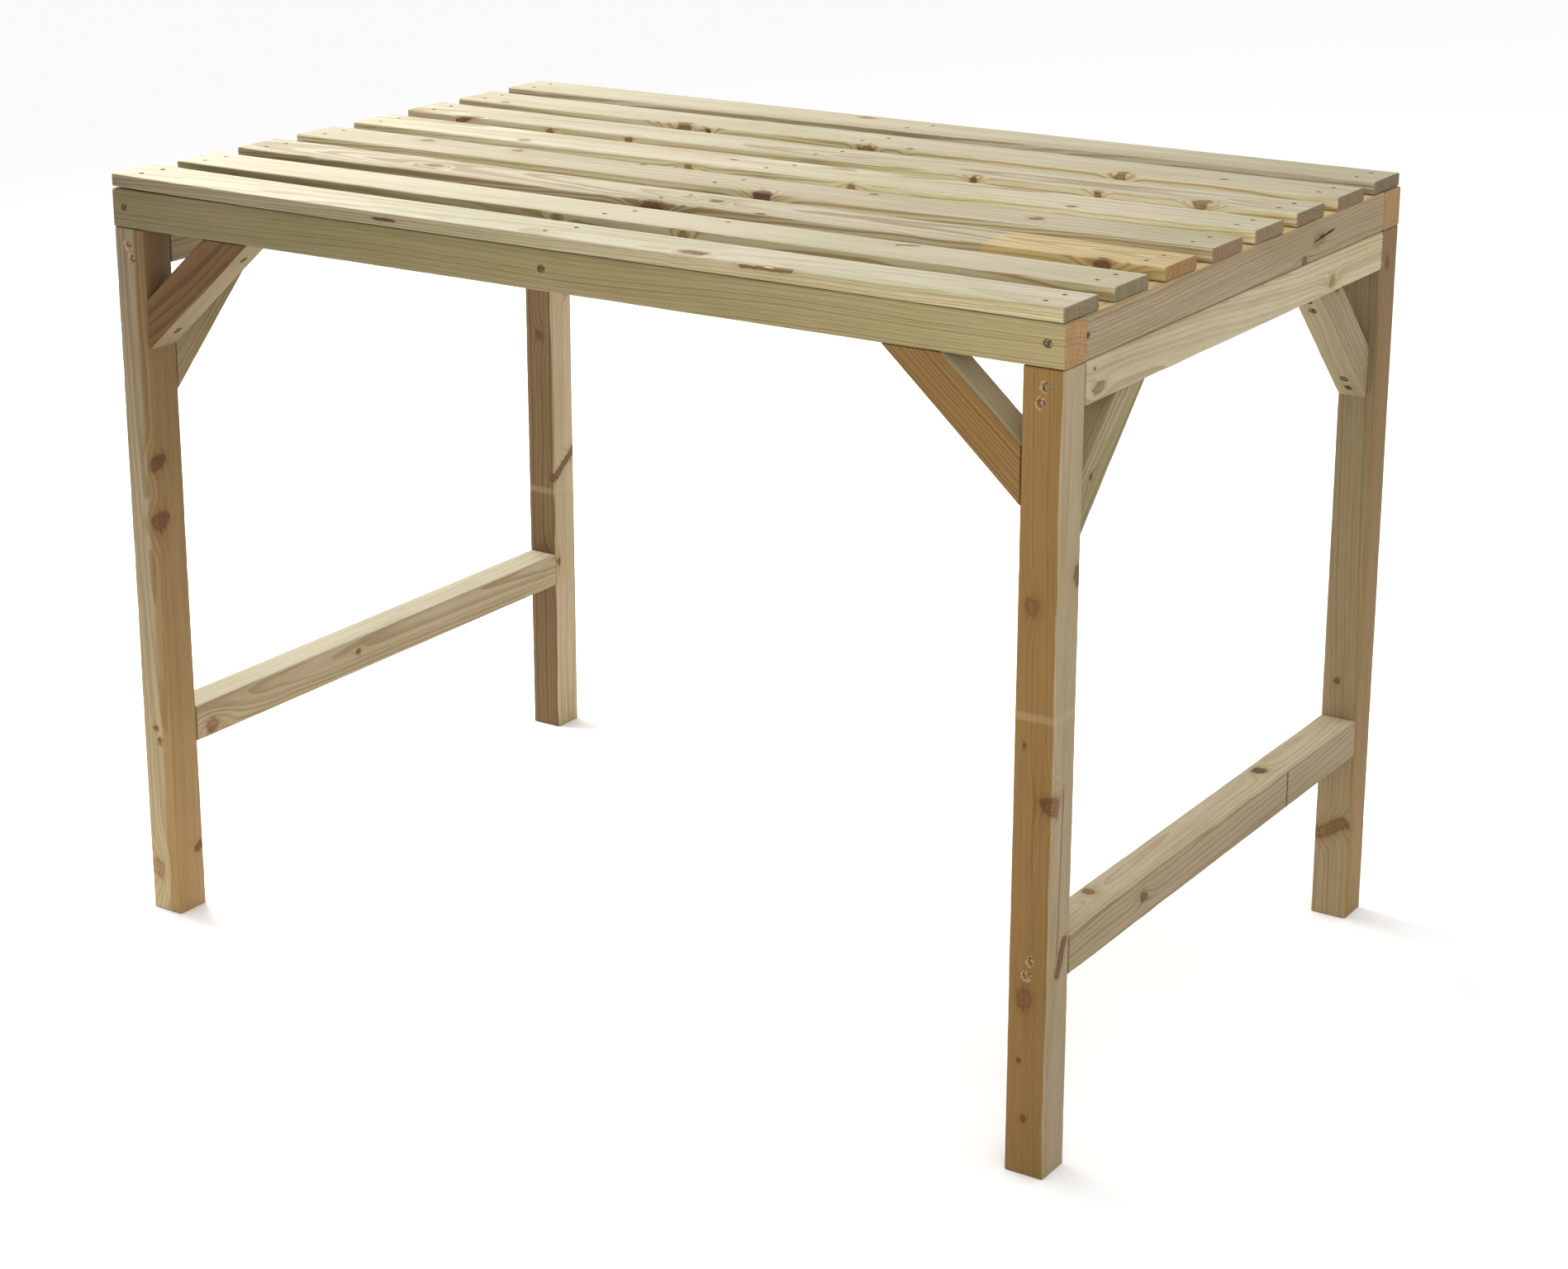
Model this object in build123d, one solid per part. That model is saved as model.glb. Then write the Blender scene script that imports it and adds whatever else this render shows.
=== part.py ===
"""Potting bench: a slatted softwood worktop on two braced end frames, screwed together.

X runs along the bench, Y from its front to its back, and Z up. The origin is on the ground,
under the middle of the worktop. Each piece of timber, and each group of equal fasteners, is
one node.
"""
import os
from math import hypot

from build123d import *

# Driving dimensions, in millimetres
bench_length = 1200.0
bench_depth = 791.0
bench_height = 885.0
section = 44.0  # side of the square planed timber
slat_thickness = 15.0
slat_width = 70.0
slat_count = 8
arris = 3.0  # rounding of the long edges of the frame timber
slat_arris = 2.2
end_chamfer = 0.8  # the saw-cut ends are lightly sanded

stretcher_bottom = 205.0
# From the corner to the far end of a brace: along the level member, and down the leg
long_brace_reach = (154.0, 137.0)
end_brace_reach = (148.0, 148.0)
end_brace_thickness = 35.0

# Fasteners: length, head diameter, shank diameter, height of the countersink, and how far the
# head is driven below the wood
joint_screw = (80.0, 8.6, 4.6, 3.0, 2.0)
brace_screw = (70.0, 8.4, 4.2, 2.8, 1.5)
short_screw = (60.0, 8.0, 4.0, 2.6, 1.5)
slat_nail = (40.0, 4.4, 2.6, 1.2, 0.8)
recess_width = 1.4  # one arm of the cross recess in a screw's head
recess_depth = 2.0

screw_heights = (10.0, 26.0)  # above the underside of a rail, for the two screws at its end
screw_stagger = 2.5  # each screw of a pair is this far off the middle, so the grain doesn't split
beam_screw_inset = 18.0  # from the end of a front or back beam
beam_screw_height = 24.0
brace_screw_inset = 33.0  # along the lower face of a long brace, from its end
end_brace_screw_insets = (18.0, 36.0)
rail_screw_spacing = 150.0
nail_inset = 30.0  # from the end of a slat
nail_spacing = 30.0  # the two nails across a slat
nail_stagger = 2.0
centre_nail_stagger = 9.0  # clears the screw along the middle of the centre beam

# Worked out from them
half_length = bench_length / 2
half_depth = bench_depth / 2
beam_top = bench_height - slat_thickness
beam_bottom = beam_top - section
rail_bottom = beam_bottom - section
leg_inner_x = half_length - section
leg_inner_y = half_depth - section
slat_pitch = (bench_depth - slat_width) / (slat_count - 1)
sides = {"left": -1, "right": 1}
rows = {"front": -1, "back": 1}


def timber(low, high, grain, rounding=arris):
    """A planed piece from its low corner to its high one, rounded along the grain."""
    low, high = Vector(*low), Vector(*high)
    size = high - low
    blank = Pos(*((low + high) / 2)) * Box(size.X, size.Y, size.Z)
    blank = fillet(blank.edges().filter_by(grain), rounding)
    return chamfer(blank.faces().filter_by(grain).edges(), end_chamfer)


def brace(reach, thickness):
    """A brace in the corner at the origin: its cut ends lie on the planes X = 0 and Z = 0."""
    across, down = reach
    long_edge = hypot(across, down)
    near_across = across - section * long_edge / down
    near_down = down - section * long_edge / across
    corners = [(0, -down), (0, -near_down), (-near_across, 0), (-across, 0)]
    outline = Plane.XZ * make_face(Polyline(*corners, close=True))
    blank = extrude(outline, thickness / 2, both=True)
    grain = Axis((0, 0, 0), (-across, 0, down))
    return fillet(blank.edges().filter_by(grain), arris)


def brace_hole(reach, distance, at_leg):
    """Where a screw enters the lower face of the brace, and the face's outward direction."""
    across, down = reach
    share = distance / hypot(across, down)
    if not at_leg:
        share = 1 - share
    return Vector(-across * share, 0, -down * (1 - share)), Vector(-down, 0, -across)


def fastener(dimensions, recessed=True):
    """A screw or nail along Z, with the top of its head at the origin and its tip below."""
    length, head, shank, countersink, _ = dimensions
    tip = 2 * shank
    rim = 0.4
    profile = Polyline(
        (0, 0),
        (head / 2, 0),
        (head / 2, -rim),
        (shank / 2, -rim - countersink),
        (shank / 2, -length + tip),
        (0, -length),
        close=True,
    )
    body = revolve(Plane.XZ * make_face(profile), Axis.Z)
    if not recessed:
        return body
    arm = Pos(0, 0, -recess_depth / 2) * Box(head / 2, recess_width, recess_depth)
    return body - arm - Rot(0, 0, 90) * arm


def driven(dimensions, point, outward, recessed=True):
    """A fastener driven in at a point of a face, with its head below the face."""
    outward = Vector(*outward).normalized()
    sunk = dimensions[-1]
    place = Plane(origin=Vector(*point) - outward * sunk, z_dir=outward)
    return place.location * fastener(dimensions, recessed)


def hole(dimensions, point, outward):
    """The room that a driven fastener takes, open to the face that it enters."""
    outward = Vector(*outward).normalized()
    head, sunk = dimensions[1], dimensions[-1]
    mouth = Pos(0, 0, sunk) * Cylinder(head / 2, 2 * sunk)
    place = Plane(origin=Vector(*point) - outward * sunk, z_dir=outward)
    return place.location * (fastener(dimensions, recessed=False) + mouth)


def legs():
    made = {}
    for row, y_side in rows.items():
        for side, x_side in sides.items():
            x = sorted((x_side * leg_inner_x, x_side * half_length))
            y = sorted((y_side * leg_inner_y, y_side * half_depth))
            made[f"leg_{row}_{side}"] = timber((x[0], y[0], 0), (x[1], y[1], beam_bottom), Axis.Z)
    return made


def top_frame():
    """The front and back beams run the full length, and the side and centre beams fit between."""
    made = {}
    for row, y_side in rows.items():
        y = sorted((y_side * leg_inner_y, y_side * half_depth))
        low = (-half_length, y[0], beam_bottom)
        made[f"{row}_beam"] = timber(low, (half_length, y[1], beam_top), Axis.X)
    middles = {"side_beam_left": -half_length + section / 2, "side_beam_right": half_length - section / 2}
    middles["centre_beam"] = 0.0
    for name, x in middles.items():
        low = (x - section / 2, -leg_inner_y, beam_bottom)
        made[name] = timber(low, (x + section / 2, leg_inner_y, beam_top), Axis.Y)
    return made


def cross_rails():
    """The top rails and the stretchers, between the front and back legs of each end frame."""
    made = {}
    for side, x_side in sides.items():
        x = sorted((x_side * leg_inner_x, x_side * half_length))
        for name, bottom in (("top_rail", rail_bottom), ("stretcher", stretcher_bottom)):
            low = (x[0], -leg_inner_y, bottom)
            made[f"{name}_{side}"] = timber(low, (x[1], leg_inner_y, bottom + section), Axis.Y)
    return made


def brace_places():
    """Each brace's place, reach and thickness, with its screws and their insets."""
    long_middle = half_depth - section / 2
    end_middle = leg_inner_x + end_brace_thickness / 2
    long_kind = (long_brace_reach, section, brace_screw, (brace_screw_inset,))
    end_kind = (end_brace_reach, end_brace_thickness, short_screw, end_brace_screw_insets)
    places = {}
    for row, y_side in rows.items():
        for side, x_side in sides.items():
            turn = 0 if x_side > 0 else 180
            corner = Pos(x_side * leg_inner_x, y_side * long_middle, beam_bottom)
            places[f"long_brace_{row}_{side}"] = (corner * Rot(0, 0, turn), *long_kind)
            corner = Pos(x_side * end_middle, y_side * leg_inner_y, rail_bottom)
            places[f"end_brace_{row}_{side}"] = (corner * Rot(0, 0, 90 * y_side), *end_kind)
    return places


def slats():
    made = {}
    for number in range(slat_count):
        front = -half_depth + number * slat_pitch
        low = (-half_length, front, beam_top)
        high = (half_length, front + slat_width, bench_height)
        made[f"slat_{number + 1}"] = timber(low, high, Axis.X, slat_arris)
    return made


def fastener_places():
    """For each group of fasteners, its dimensions and a list of (point, outward direction)."""
    groups = {"leg_screws": [], "beam_screws": [], "rail_screws": [], "slat_nails": []}
    leg_middle = half_length - section / 2
    for y_side in rows.values():
        for x_side in sides.values():
            for bottom in (rail_bottom, stretcher_bottom):
                for height, off in zip(screw_heights, (-screw_stagger, screw_stagger)):
                    point = (x_side * (leg_middle + off), y_side * half_depth, bottom + height)
                    groups["leg_screws"].append((point, (0, y_side, 0)))
        for x in (beam_screw_inset - half_length, 0, half_length - beam_screw_inset):
            point = (x, y_side * half_depth, beam_bottom + beam_screw_height)
            groups["beam_screws"].append((point, (0, y_side, 0)))
    for x_side in sides.values():
        for y in (-rail_screw_spacing, 0, rail_screw_spacing):
            groups["rail_screws"].append(((x_side * leg_middle, y, rail_bottom), (0, 0, -1)))
    nail_lines = ((nail_inset - half_length, nail_stagger), (0, centre_nail_stagger))
    nail_lines += ((half_length - nail_inset, nail_stagger),)
    for number in range(slat_count):
        middle = -half_depth + number * slat_pitch + slat_width / 2
        for x, stagger in nail_lines:
            for y_side in rows.values():
                point = (x + y_side * stagger, middle + y_side * nail_spacing / 2, bench_height)
                groups["slat_nails"].append((point, (0, 0, 1)))
    kinds = {
        "leg_screws": joint_screw,
        "beam_screws": joint_screw,
        "rail_screws": joint_screw,
        "slat_nails": slat_nail,
    }
    places = {name: [(kinds[name], *place) for place in made] for name, made in groups.items()}
    places["brace_screws"] = []
    for place, reach, _, dimensions, insets in brace_places().values():
        for inset in insets:
            for at_leg in (True, False):
                point, outward = brace_hole(reach, inset, at_leg)
                tip = place * Pos(*(point + outward))
                start = (place * Pos(*point)).position
                places["brace_screws"].append((dimensions, start, tip.position - start))
    return places


def drilled(piece, holes):
    """The piece with the holes of the fasteners that reach into it."""
    box = piece.bounding_box()
    for room in holes:
        reach = room.bounding_box()
        apart = (
            reach.min.X > box.max.X
            or reach.max.X < box.min.X
            or reach.min.Y > box.max.Y
            or reach.max.Y < box.min.Y
            or reach.min.Z > box.max.Z
            or reach.max.Z < box.min.Z
        )
        if not apart:
            piece = piece - room
    return piece


def main():
    os.makedirs("parts", exist_ok=True)
    pieces = {**legs(), **top_frame(), **cross_rails(), **slats()}
    for name, (place, reach, thickness, _, _) in brace_places().items():
        pieces[name] = place * brace(reach, thickness)
    places = fastener_places()
    holes = [hole(*place) for made in places.values() for place in made]
    for name, piece in pieces.items():
        export_step(drilled(piece, holes), f"parts/{name}.step")
    for name, made in places.items():
        recessed = name != "slat_nails"
        group = Compound(children=[driven(*place, recessed) for place in made])
        export_step(group, f"parts/{name}.step")


main()
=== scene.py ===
import math
import random

import bmesh
import bpy
from mathutils import Matrix, Vector, noise


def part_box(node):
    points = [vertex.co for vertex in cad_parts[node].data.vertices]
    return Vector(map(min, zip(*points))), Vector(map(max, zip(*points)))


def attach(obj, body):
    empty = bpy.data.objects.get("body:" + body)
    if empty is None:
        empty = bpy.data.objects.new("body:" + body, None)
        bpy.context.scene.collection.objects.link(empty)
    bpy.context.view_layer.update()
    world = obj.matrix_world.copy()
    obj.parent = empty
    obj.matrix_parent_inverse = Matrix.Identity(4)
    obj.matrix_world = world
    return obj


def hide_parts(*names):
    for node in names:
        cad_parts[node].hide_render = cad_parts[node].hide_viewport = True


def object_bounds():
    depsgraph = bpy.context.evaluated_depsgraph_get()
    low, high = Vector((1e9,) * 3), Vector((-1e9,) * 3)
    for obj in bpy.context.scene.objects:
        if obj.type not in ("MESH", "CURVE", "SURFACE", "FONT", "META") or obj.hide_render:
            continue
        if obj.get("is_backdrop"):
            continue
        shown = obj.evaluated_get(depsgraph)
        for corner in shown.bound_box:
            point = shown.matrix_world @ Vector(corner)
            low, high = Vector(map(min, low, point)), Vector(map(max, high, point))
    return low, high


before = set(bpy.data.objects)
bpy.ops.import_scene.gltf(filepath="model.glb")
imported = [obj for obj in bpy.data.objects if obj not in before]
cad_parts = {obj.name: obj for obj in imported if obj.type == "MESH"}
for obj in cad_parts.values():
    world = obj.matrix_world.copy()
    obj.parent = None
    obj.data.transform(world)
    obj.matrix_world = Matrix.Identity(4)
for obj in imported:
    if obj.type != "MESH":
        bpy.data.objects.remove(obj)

cad_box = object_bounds()
MM = 0.001
X, Y, Z = Vector((1, 0, 0)), Vector((0, 1, 0)), Vector((0, 0, 1))

# The shapes of the timber, in millimetres
ARRIS = 3.0
SLAT_ARRIS = 2.2
END_ARRIS = 0.9
ARC_STEPS = 4
CELL = 6.0  # across a face
STATION = 9.0  # along the grain
FACE_INSET = 0.25  # how far a worn face lies inside the CAD's, on average
WEAR = 0.3
DENT_DEPTH = 2.2  # of the dents in a fully worn arris
SLAT_TRIM = (0.2, 2.4)  # the least and the most that a slat's end is short by
TRIM_FADE = 8  # the power by which the trim fades away from the ends
SPRING_REACH = 330.0  # how much of a slat bends up with its lifted end

# Colours of planed treated pine, as (early wood, late wood)
CREAM = ((0.40, 0.368, 0.275), (0.26, 0.198, 0.11))
WHEAT = ((0.355, 0.322, 0.235), (0.235, 0.177, 0.10))
PALE = ((0.46, 0.385, 0.26), (0.33, 0.255, 0.15))
BISCUIT = ((0.42, 0.33, 0.205), (0.30, 0.215, 0.12))
GOLD = ((0.44, 0.345, 0.19), (0.32, 0.225, 0.105))
HONEY = ((0.43, 0.315, 0.16), (0.30, 0.19, 0.08))
OLIVE = ((0.25, 0.204, 0.10), (0.168, 0.126, 0.053))
FAWN = ((0.37, 0.295, 0.185), (0.265, 0.19, 0.105))
STRAW = ((0.315, 0.245, 0.15), (0.225, 0.16, 0.088))
DRAB = ((0.26, 0.19, 0.105), (0.18, 0.126, 0.06))
AMBER = ((0.222, 0.124, 0.038), (0.155, 0.078, 0.02))
COPPER = ((0.25, 0.155, 0.065), (0.18, 0.104, 0.036))
PEAT = ((0.165, 0.10, 0.045), (0.112, 0.062, 0.024))
UMBER = ((0.13, 0.066, 0.023), (0.082, 0.038, 0.012))
# Tints of sawn ends, and of the slats' edges, where they paint shade (darker) and light (lighter)
SALMON = (1.38, 1.05, 0.98)
RUSSET = (0.66, 0.48, 0.36)
TAN = (0.56, 0.47, 0.37)
GREY = (0.50, 0.45, 0.35)
SHADED_EDGE = (0.87, 0.82, 0.68)
LIT_EDGE = (1.28, 1.25, 1.08)
UNTINTED = (1.0, 1.0, 1.0)
# Knots, as the two colours of their rings, and marks
RED_KNOT = ((0.15, 0.072, 0.032), (0.09, 0.04, 0.019))
BLACK_KNOT = ((0.05, 0.03, 0.024), (0.024, 0.015, 0.013))
KNOT_RIM = (0.055, 0.028, 0.015)
STRAP_MARK = (0.42, 0.33, 0.20)


# ---------------------------------------------------------------- nodes

class Graph:
    """Adds nodes to a tree. An input is a number, a tuple, or another node's output."""

    def __init__(self, tree):
        self.tree = tree

    def add(self, kind, inputs=(), **settings):
        node = self.tree.nodes.new("ShaderNode" + kind)
        for key, value in settings.items():
            setattr(node, key, value)
        for key, value in dict(inputs).items():
            self.feed(node.inputs[key], value)
        return node

    def feed(self, socket, value):
        if isinstance(value, bpy.types.NodeSocket):
            self.tree.links.new(value, socket)
        elif socket.type == "RGBA" and len(value) == 3:
            socket.default_value = (*value, 1)
        else:
            socket.default_value = value

    def math(self, operation, *values):
        return self.add("Math", enumerate(values), operation=operation).outputs[0]

    def vector(self, operation, *values):
        node = self.add("VectorMath", enumerate(values), operation=operation)
        return node.outputs[1 if operation in ("LENGTH", "DOT_PRODUCT") else 0]

    def scaled(self, vector, factor):
        return self.add("VectorMath", {0: vector, "Scale": factor}, operation="SCALE").outputs[0]

    def smooth(self, value, low, high, start=0.0, end=1.0):
        inputs = {"Value": value, "From Min": low, "From Max": high, "To Min": start, "To Max": end}
        return self.add("MapRange", inputs, interpolation_type="SMOOTHSTEP").outputs[0]

    def mix(self, factor, first, second, blend="MIX"):
        node = self.add("Mix", {0: factor, 6: first, 7: second}, data_type="RGBA", blend_type=blend)
        return node.outputs[2]

    def tinted(self, colour, tint):
        return self.mix(1.0, colour, tint, "MULTIPLY")

    def noise(self, point, stretch, detail=1.0, output=0):
        moved = self.vector("MULTIPLY", point, stretch)
        inputs = {"Vector": moved, "Scale": 1.0, "Detail": detail, "Roughness": 0.55}
        return self.add("TexNoise", inputs).outputs[output]

    def swirl(self, point, stretch):
        """A noise vector about zero."""
        return self.vector("SUBTRACT", self.noise(point, stretch, output=1), (0.5, 0.5, 0.5))


def new_group(name, inputs, outputs):
    """An empty node group: its graph, its inputs by name, and its output node."""
    tree = bpy.data.node_groups.new(name, "ShaderNodeTree")
    kinds = {"f": "NodeSocketFloat", "v": "NodeSocketVector", "c": "NodeSocketColor"}
    for direction, sockets in (("INPUT", inputs), ("OUTPUT", outputs)):
        for label, kind in sockets.items():
            tree.interface.new_socket(label, in_out=direction, socket_type=kinds[kind])
    given = tree.nodes.new("NodeGroupInput").outputs
    made = tree.nodes.new("NodeGroupOutput").inputs
    return tree, Graph(tree), given, made


def knot_group():
    """One knot: a branch along Axis through Centre, added to the knots that it is given.

    Near is the distance from the nearest knot in its radii, Lift is how far the rings bulge round
    knots, Stain is the resin about them, and Shade is the nearest one's darkness.
    """
    inputs = {"Point": "v", "Wobble": "f", "Centre": "v", "Axis": "v"}
    inputs.update({"Radius": "f", "Depth": "f", "Dark": "f"})
    carried = {"Near": "f", "Lift": "f", "Stain": "f", "Shade": "f"}
    tree, g, given, made = new_group("knot", {**inputs, **carried}, carried)
    away = g.vector("SUBTRACT", given["Point"], given["Centre"])
    along = g.vector("DOT_PRODUCT", away, given["Axis"])
    across = g.vector("SUBTRACT", away, g.scaled(given["Axis"], along))
    uneven = g.math("MULTIPLY_ADD", given["Wobble"], 1.5, 0.25)
    oval = g.vector("MULTIPLY", across, (0.84, 1, 1))
    distance = g.math("DIVIDE", g.vector("LENGTH", oval), given["Radius"])
    beyond = g.math("MAXIMUM", g.math("SUBTRACT", g.math("ABSOLUTE", along), given["Depth"]), 0.0)
    distance = g.math("ADD", g.math("MULTIPLY", distance, uneven), g.math("MULTIPLY", beyond, 0.35))
    drawn_out = g.vector("MULTIPLY", across, (0.42, 1, 1))
    wide = g.math("DIVIDE", g.vector("LENGTH", drawn_out), g.math("MULTIPLY", given["Radius"], 1.7))
    fall = g.math("EXPONENT", g.math("MULTIPLY", g.math("MULTIPLY", wide, wide), -1.0))
    fall = g.math("MULTIPLY", fall, g.smooth(beyond, 0.0, 14.0, 1.0, 0.0))
    lift = g.math("MULTIPLY", fall, g.math("MULTIPLY", given["Radius"], 1.35))
    closer = g.math("LESS_THAN", distance, given["Near"])
    step = g.math("MULTIPLY", closer, g.math("SUBTRACT", given["Dark"], given["Shade"]))
    g.feed(made["Near"], g.math("MINIMUM", distance, given["Near"]))
    g.feed(made["Lift"], g.math("ADD", lift, given["Lift"]))
    g.feed(made["Stain"], g.math("MAXIMUM", fall, given["Stain"]))
    g.feed(made["Shade"], g.math("ADD", given["Shade"], step))
    return tree


def growth_rings(g, given, local, run, ripple):
    """How late in its year the wood grew: rings round a pith that wanders and tilts along the piece."""
    bend = g.swirl(local, (0.0021, 0.011, 0.011))
    wavy = g.vector("ADD", given["Point"], g.scaled(bend, given["Wander"]))
    wavy = g.vector("ADD", wavy, g.scaled(ripple, g.math("MULTIPLY", given["Wander"], 0.16)))
    centre = g.vector("ADD", given["Pith"], g.scaled(given["Tilt"], run))
    spoke = g.vector("MULTIPLY", g.vector("SUBTRACT", wavy, centre), (0, 1, 1))
    radius = g.math("ADD", g.vector("LENGTH", spoke), given["Lift"])
    slow = g.math("MULTIPLY", radius, 0.11)
    years = g.add("TexNoise", {"W": slow, "Scale": 1.0}, noise_dimensions="1D").outputs[0]
    ring = g.math("DIVIDE", g.math("MULTIPLY_ADD", years, 9.0, radius), given["Ring"])
    year = g.add("TexWhiteNoise", {"W": g.math("FLOOR", ring)}, noise_dimensions="1D").outputs[0]
    phase = g.math("FRACT", ring)
    late = g.math("MULTIPLY", g.smooth(phase, 0.30, 0.86), g.smooth(phase, 0.93, 1.0, 1.0, 0.0))
    return g.math("MULTIPLY", late, g.math("MULTIPLY_ADD", year, 0.75, 0.4))


def log_tones(g, given, ripple):
    """The early and late wood's colours, on each side of the heart's border; on two pieces the heart is
    painted light on a face.
    """
    bent = g.vector("ADD", given["Point"], g.scaled(ripple, 5.0))
    inside = g.math("SUBTRACT", g.vector("DOT_PRODUCT", bent, given["Heart way"]), given["Heart from"])
    soft = given["Heart soft"]
    second_tone_share = g.smooth(inside, g.math("MULTIPLY", soft, -1.0), soft)
    early = g.mix(second_tone_share, given["Early"], given["Heart early"])
    late = g.mix(second_tone_share, given["Late"], given["Heart late"])
    return early, late


def long_grain(g, given, tones, late, fibre, local, run, across):
    """The colour of a face along the grain: rings, fibres, resin streaks, slow changes of tone, and painted
    light and shade along the piece and on the slats' edges.
    """
    streak = g.noise(local, (0.0035, 0.16, 0.16), 2.0)
    cloud = g.noise(local, (0.004, 0.018, 0.018), 2.0)
    edge = g.smooth(g.math("SUBTRACT", g.math("ABSOLUTE", across), given["Edge from"]), -1.2, -0.4)
    strength = g.math("MULTIPLY", given["Contrast"], g.math("MULTIPLY_ADD", edge, 0.6, 1.0))
    tone = g.math("MULTIPLY", late, strength)
    tone = g.math("ADD", tone, g.smooth(streak, 0.45, 0.75, 0.0, 0.34))
    tone = g.math("ADD", tone, g.smooth(fibre, 0.3, 0.75, -0.10, 0.22))
    base = g.mix(g.math("MAXIMUM", tone, 0.0), *tones)
    base = g.mix(g.smooth(cloud, 0.35, 0.7), base, g.tinted(base, (0.88, 0.90, 0.80)))
    # Painted light and shade: lighter towards one end of the piece and darker towards the other, more so on
    # the slats' edges.
    drift = g.math("MULTIPLY_ADD", given["Edge drift"], edge, given["Drift"])
    base = g.scaled(base, g.math("MULTIPLY_ADD", run, drift, 1.0))
    strap = g.smooth(g.math("ABSOLUTE", g.math("SUBTRACT", run, given["Band"])), 2.0, 6.0, 0.22, 0.0)
    base = g.mix(strap, base, STRAP_MARK)
    # The side faces' tint is painted shade on the front slats' edges and painted light on the back slats'
    # edges.
    return g.mix(edge, base, g.tinted(base, given["Edge tint"]))


def end_grain(g, given, tones, late, saw):
    """The colour of a sawn end, which takes its own tint."""
    base = g.mix(g.math("MULTIPLY", late, 0.6), *tones)
    base = g.tinted(base, given["End tint"])
    return g.mix(g.smooth(saw, 0.35, 0.7), base, g.tinted(base, (0.80, 0.78, 0.74)))


def knotted(g, given, base, fibre, rim):
    """Knots over a base colour: a stained halo, a heart with its own rings, and a dark rim.

    Shade takes the heart from pale through brown and red to black.
    """
    near, shade = given["Near"], given["Shade"]
    stain = g.math("MULTIPLY", given["Stain"], 0.55)
    base = g.mix(stain, base, g.tinted(base, (0.88, 0.79, 0.64)))
    halo = g.math("MULTIPLY", g.smooth(near, 0.9, 2.1, 1.0, 0.0), 0.6)
    base = g.mix(halo, base, g.tinted(base, (0.80, 0.70, 0.56)))
    turns = g.smooth(g.math("SINE", g.math("MULTIPLY", near, 15.0)), -1.0, 1.0)
    pale = g.mix(turns, g.tinted(base, (1.12, 1.05, 1.0)), g.tinted(base, (0.86, 0.77, 0.70)))
    brown = g.mix(turns, g.tinted(base, (0.66, 0.54, 0.41)), g.tinted(base, (0.46, 0.36, 0.27)))
    red = g.mix(turns, *RED_KNOT)
    red = g.mix(0.15, red, g.tinted(base, (0.60, 0.38, 0.26)))
    black = g.mix(turns, *BLACK_KNOT)
    heart = g.mix(g.smooth(shade, 0.0, 0.24), pale, brown)
    heart = g.mix(g.smooth(shade, 0.24, 0.5), heart, red)
    heart = g.mix(g.smooth(shade, 0.55, 1.0), heart, black)
    specks = g.smooth(fibre, 0.35, 0.7, 0.0, 0.25)
    heart = g.mix(specks, heart, g.tinted(base, (0.66, 0.48, 0.36)))
    base = g.mix(g.smooth(near, 0.84, 1.10, 1.0, 0.0), base, heart)
    dark = g.math("MULTIPLY", rim, g.math("MULTIPLY_ADD", shade, 0.45, 0.28))
    return g.mix(dark, base, KNOT_RIM)


def wood_group():
    """Colour, roughness and height of solid pine at a point in grain coordinates."""
    vectors = ("Point", "Seed", "Pith", "Tilt", "Heart way", "Grain")
    colours = ("Early", "Late", "Heart early", "Heart late", "Edge tint", "End tint")
    numbers = (
        "Ring", "Wander", "Contrast", "Heart from", "Heart soft", "Drift", "Edge drift", "Edge from",
        "Band", "Near", "Lift", "Stain", "Shade",
    )
    kinds = (("v", vectors), ("c", colours), ("f", numbers))
    inputs = {label: kind for kind, labels in kinds for label in labels}
    tree, g, given, made = new_group("pine", inputs, {"Color": "c", "Roughness": "f", "Height": "f"})
    local = g.vector("ADD", given["Point"], given["Seed"])
    run, across, _ = g.add("SeparateXYZ", {0: given["Point"]}).outputs
    ripple = g.swirl(local, (0.012, 0.05, 0.05))
    fibre = g.noise(local, (0.03, 1.1, 1.1), 2.0)
    saw = g.noise(local, (0.3, 0.5, 0.05), 2.0)
    late = growth_rings(g, given, local, run, ripple)
    tones = log_tones(g, given, ripple)

    # End grain is where the surface turns across the grain
    normal = g.add("NewGeometry").outputs["Normal"]
    facing = g.math("ABSOLUTE", g.vector("DOT_PRODUCT", normal, given["Grain"]))
    end = g.smooth(facing, 0.55, 0.8)
    base = long_grain(g, given, tones, late, fibre, local, run, across)
    base = g.mix(end, base, end_grain(g, given, tones, late, saw))

    near = given["Near"]
    rim = g.math("MULTIPLY", g.smooth(near, 0.55, 0.92), g.smooth(near, 1.0, 1.25, 1.0, 0.0))
    g.feed(made["Color"], knotted(g, given, base, fibre, rim))
    knot = g.smooth(near, 0.9, 1.1, 1.0, 0.0)
    rough = g.math("MULTIPLY_ADD", fibre, 0.16, 0.60)
    rough = g.math("SUBTRACT", rough, g.math("MULTIPLY", knot, 0.08))
    g.feed(made["Roughness"], g.math("MULTIPLY_ADD", end, 0.2, rough))
    height = g.math("MULTIPLY_ADD", fibre, 0.5, g.math("MULTIPLY", late, 0.30))
    height = g.math("SUBTRACT", height, g.math("MULTIPLY", rim, 0.6))
    height = g.math("ADD", height, g.math("MULTIPLY", g.math("MULTIPLY", saw, end), 1.1))
    g.feed(made["Height"], height)
    return tree


KNOT = knot_group()
PINE = wood_group()


def new_material(name):
    material = bpy.data.materials.new(name)
    material.use_nodes = True
    tree = material.node_tree
    return material, Graph(tree), tree.nodes["Principled BSDF"]


def grain_point(g, piece):
    """The shaded point in the piece's grain coordinates, in millimetres."""
    place = g.add("Mapping", {"Vector": g.add("TexCoord").outputs["Object"]}, vector_type="TEXTURE")
    place.inputs["Location"].default_value = piece.centre
    place.inputs["Rotation"].default_value = piece.turn.to_euler()
    place.inputs["Scale"].default_value = (MM, MM, MM)
    return place.outputs[0]


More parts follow.
